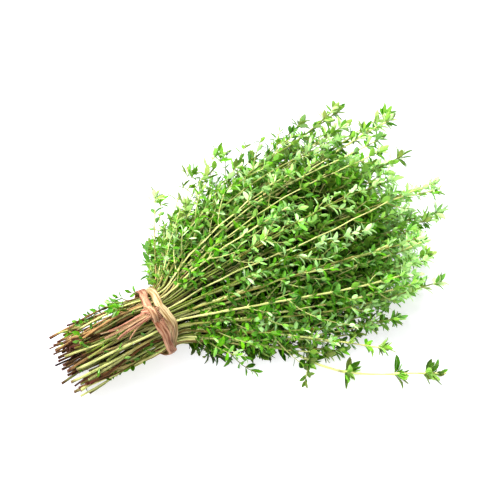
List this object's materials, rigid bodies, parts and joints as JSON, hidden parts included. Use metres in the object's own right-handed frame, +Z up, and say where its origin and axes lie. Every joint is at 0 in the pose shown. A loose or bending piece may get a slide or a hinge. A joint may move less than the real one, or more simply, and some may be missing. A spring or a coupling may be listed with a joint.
{
  "type": "thyme bundle",
  "caption": "Bunch of fresh thyme sprigs lying on its side, tied near the cut ends with a knotted strip of bast, its leafy tips fanned out and a stray sprig trailing beside it.",
  "frame": {"origin": "middle of the whole bunch's box in plan, on the surface that it lies on", "axes": "+X runs along the bunch from the cut ends to the leafy tips, +Z is up, and the trailing sprig is on the -Y side"},
  "size_m": [0.1884, 0.1362, 0.0516],
  "materials": {
    "leaf": "matte green leaves, paler towards the tips and underneath",
    "stem": "pale green soft stems that turn brown and woody towards the cut ends",
    "bast": "dry fibrous bast strip, pinkish brown, creased lengthwise"
  },
  "bodies": {
    "root": {"sprig_01": "leaf", "sprig_02": "leaf", "sprig_03": "leaf", "sprig_04": "leaf", "sprig_05": "leaf", "sprig_06": "leaf", "sprig_07": "leaf", "sprig_08": "leaf", "sprig_09": "leaf", "sprig_10": "leaf", "sprig_11": "leaf", "sprig_12": "leaf", "sprig_13": "leaf", "sprig_14": "leaf", "sprig_15": "leaf", "sprig_16": "leaf", "sprig_17": "leaf", "sprig_18": "leaf", "sprig_19": "leaf", "sprig_20": "leaf", "sprig_21": "leaf", "sprig_22": "leaf", "sprig_23": "leaf", "sprig_24": "leaf", "sprig_25": "leaf", "sprig_26": "leaf", "sprig_27": "leaf", "sprig_28": "leaf", "sprig_29": "leaf", "sprig_30": "leaf", "sprig_31": "leaf", "sprig_32": "leaf", "sprig_33": "leaf", "sprig_34": "leaf", "sprig_35": "leaf", "sprig_36": "leaf", "sprig_37": "leaf", "sprig_38": "leaf", "sprig_39": "leaf", "sprig_40": "leaf", "sprig_41": "leaf", "trailing_sprig": "leaf", "bast_tie": "bast"}
  },
  "joints": []
}
